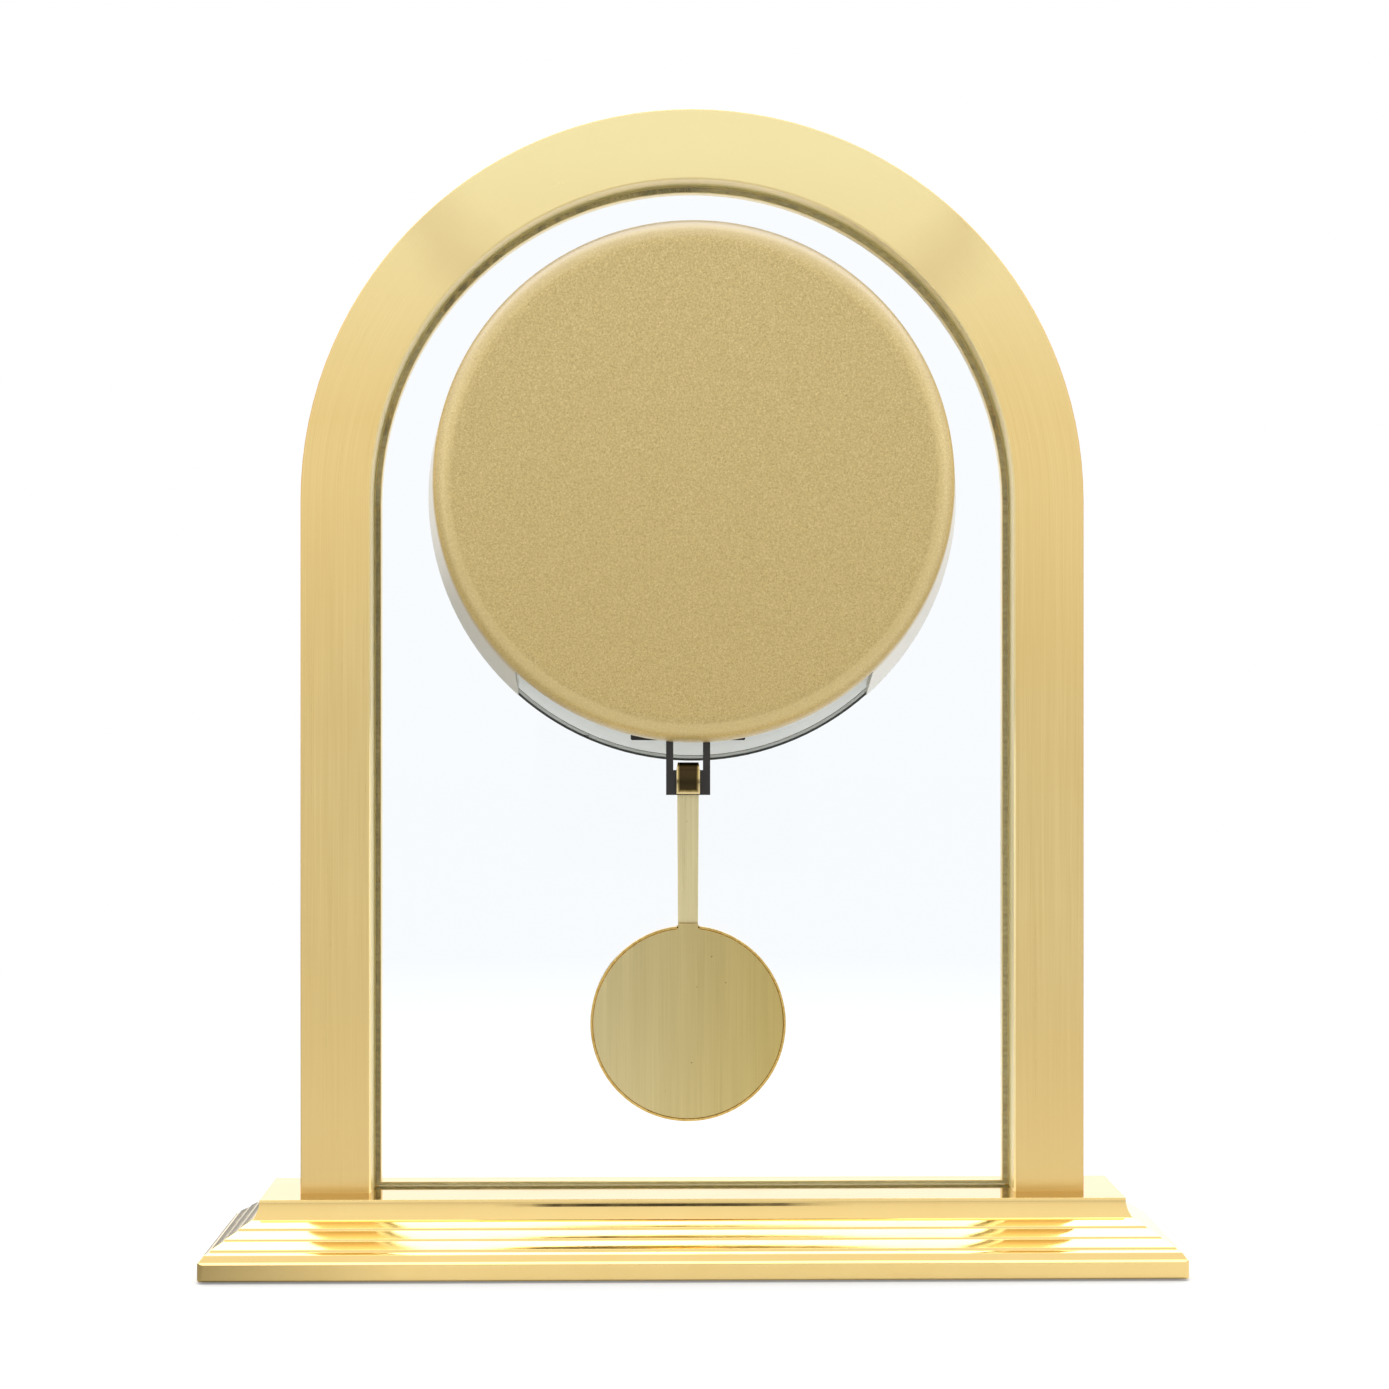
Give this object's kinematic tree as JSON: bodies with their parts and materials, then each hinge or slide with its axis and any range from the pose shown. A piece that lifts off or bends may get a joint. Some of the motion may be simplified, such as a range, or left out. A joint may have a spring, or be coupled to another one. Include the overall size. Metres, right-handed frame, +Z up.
{
  "type": "mantel clock",
  "caption": "Arch-top brass and glass mantel clock on a moulded base, with a covered quartz movement and a swinging pendulum behind the glass.",
  "frame": {"origin": "centre of the felt's underside, where the clock rests", "axes": "+Z up, +Y the way the dial faces, -Y the way the rear cover faces, +X to the right when looking at the rear"},
  "size_m": [0.2342, 0.0578, 0.281],
  "materials": {
    "brushed_brass": "satin brushed, clear lacquered",
    "polished_brass": "mirror polished",
    "satin_bob_brass": "fine vertical brushing, lacquered",
    "gear_brass": "machined",
    "hook_brass": "dark polished strip",
    "gold_speckle_paint": "gold speckled paint on moulded plastic",
    "glass": "clear, polished edges",
    "lens_glass": "clear, domed",
    "silver_aluminium": "matt anodised, printed front",
    "black_plastic": "moulded, fine grain",
    "white_plastic": "moulded",
    "clear_tape": "thin bedding tape",
    "black_rubber": "moulded",
    "black_felt": "short pile",
    "black_painted_steel": "satin black",
    "steel": "zinc plated",
    "black_hand": "satin black",
    "battery_wrap": "printed wrap, plain",
    "circuit_green": "solder mask",
    "copper_wire": "enamelled winding",
    "magnet": "ground ferrite",
    "nylon": "moulded natural"
  },
  "bodies": {
    "frame": {"base_plinth": "polished_brass", "base_plate": "black_painted_steel", "base_felt": "black_felt", "base_plate_screws": "steel", "arch_fixing_screws": "steel", "arch_frame": "brushed_brass", "glass_pane": "glass", "glass_bedding_tape": "clear_tape", "cover_ring": "white_plastic", "dial_plate": "silver_aluminium", "dial_seal": "black_rubber", "dial_bezel": "polished_brass", "dial_lens": "lens_glass", "hour_markers": "polished_brass", "movement_front_case": "black_plastic", "movement_rear_case": "black_plastic", "case_screws": "steel", "case_pillars": "black_plastic", "fixing_washer": "black_rubber", "fixing_nut": "gear_brass", "nut_washer": "gear_brass", "battery": "battery_wrap", "battery_contacts": "steel", "circuit_board": "circuit_green", "quartz_crystal": "steel", "motor_coil": "copper_wire", "motor_stator": "steel", "pendulum_housing": "black_plastic", "hanger_pin": "steel", "pendulum_coil": "copper_wire"},
    "cover": {"rear_cover": "gold_speckle_paint"},
    "hanger": {"pendulum_hanger": "black_plastic", "hanger_magnet": "magnet"},
    "pendulum": {"pendulum_hook": "hook_brass", "pendulum_rod": "satin_bob_brass", "bob_shell": "polished_brass", "bob_back": "satin_bob_brass"},
    "minute_arbor": {"cannon_pinion": "gear_brass", "minute_hand": "black_hand", "hand_nut": "polished_brass"},
    "hour_pipe": {"hour_wheel": "nylon", "hour_hand": "black_hand"},
    "setting_arbor": {"minute_wheel": "nylon", "setting_knob": "black_plastic"},
    "centre_wheel": {"centre_wheel": "gear_brass"},
    "third_wheel": {"third_wheel": "nylon"},
    "seconds_wheel": {"seconds_wheel": "nylon"},
    "intermediate_wheel": {"intermediate_wheel": "nylon"},
    "rotor": {"rotor": "magnet"}
  },
  "joints": [
    {"name": "rear_cover_slide", "type": "slide", "parent": "frame", "child": "cover", "axis": [0, -1, 0], "range_m": [0, 0.05]},
    {"name": "pendulum_swing", "type": "hinge", "parent": "frame", "child": "hanger", "pos_m": [-0.0014, -0.0205, 0.152], "axis": [0, -1, 0], "range_deg": [-6, 6]},
    {"name": "rod_rock", "type": "hinge", "parent": "hanger", "child": "pendulum", "pos_m": [-0.0014, -0.0205, 0.1206], "axis": [1, 0, 0], "range_deg": [-2, 2]},
    {"name": "minute_hand_turn", "type": "hinge", "parent": "frame", "child": "minute_arbor", "pos_m": [0, -0.0104, 0.187], "axis": [0, -1, 0], "continuous": true},
    {"name": "hour_hand_turn", "type": "hinge", "parent": "frame", "child": "hour_pipe", "pos_m": [0, -0.0104, 0.187], "axis": [0, -1, 0], "continuous": true},
    {"name": "setting_knob_turn", "type": "hinge", "parent": "frame", "child": "setting_arbor", "pos_m": [-0.01108, -0.0104, 0.18895], "axis": [0, -1, 0], "continuous": true},
    {"name": "intermediate_wheel_turn", "type": "hinge", "parent": "frame", "child": "intermediate_wheel", "pos_m": [-0.0001, -0.0104, 0.2005], "axis": [0, -1, 0], "continuous": true},
    {"name": "rotor_turn", "type": "hinge", "parent": "frame", "child": "rotor", "pos_m": [-0.00574, -0.0104, 0.19845], "axis": [0, -1, 0], "continuous": true},
    {"name": "seconds_wheel_turn", "type": "hinge", "parent": "frame", "child": "seconds_wheel", "pos_m": [0.00679, -0.0104, 0.20171], "axis": [0, -1, 0], "continuous": true},
    {"name": "third_wheel_turn", "type": "hinge", "parent": "frame", "child": "third_wheel", "pos_m": [0.00836, -0.0104, 0.19285], "axis": [0, -1, 0], "continuous": true},
    {"name": "centre_wheel_turn", "type": "hinge", "parent": "frame", "child": "centre_wheel", "pos_m": [0, -0.0104, 0.187], "axis": [0, -1, 0], "continuous": true}
  ],
  "couplings": [
    {"joint": "hour_hand_turn", "follows": "minute_hand_turn", "ratio": 0.083333},
    {"joint": "setting_knob_turn", "follows": "minute_hand_turn", "ratio": -0.33333},
    {"joint": "rotor_turn", "follows": "intermediate_wheel_turn", "ratio": -5},
    {"joint": "seconds_wheel_turn", "follows": "intermediate_wheel_turn", "ratio": -0.16667},
    {"joint": "third_wheel_turn", "follows": "intermediate_wheel_turn", "ratio": 0.020833},
    {"joint": "centre_wheel_turn", "follows": "intermediate_wheel_turn", "ratio": -0.0027778}
  ]
}
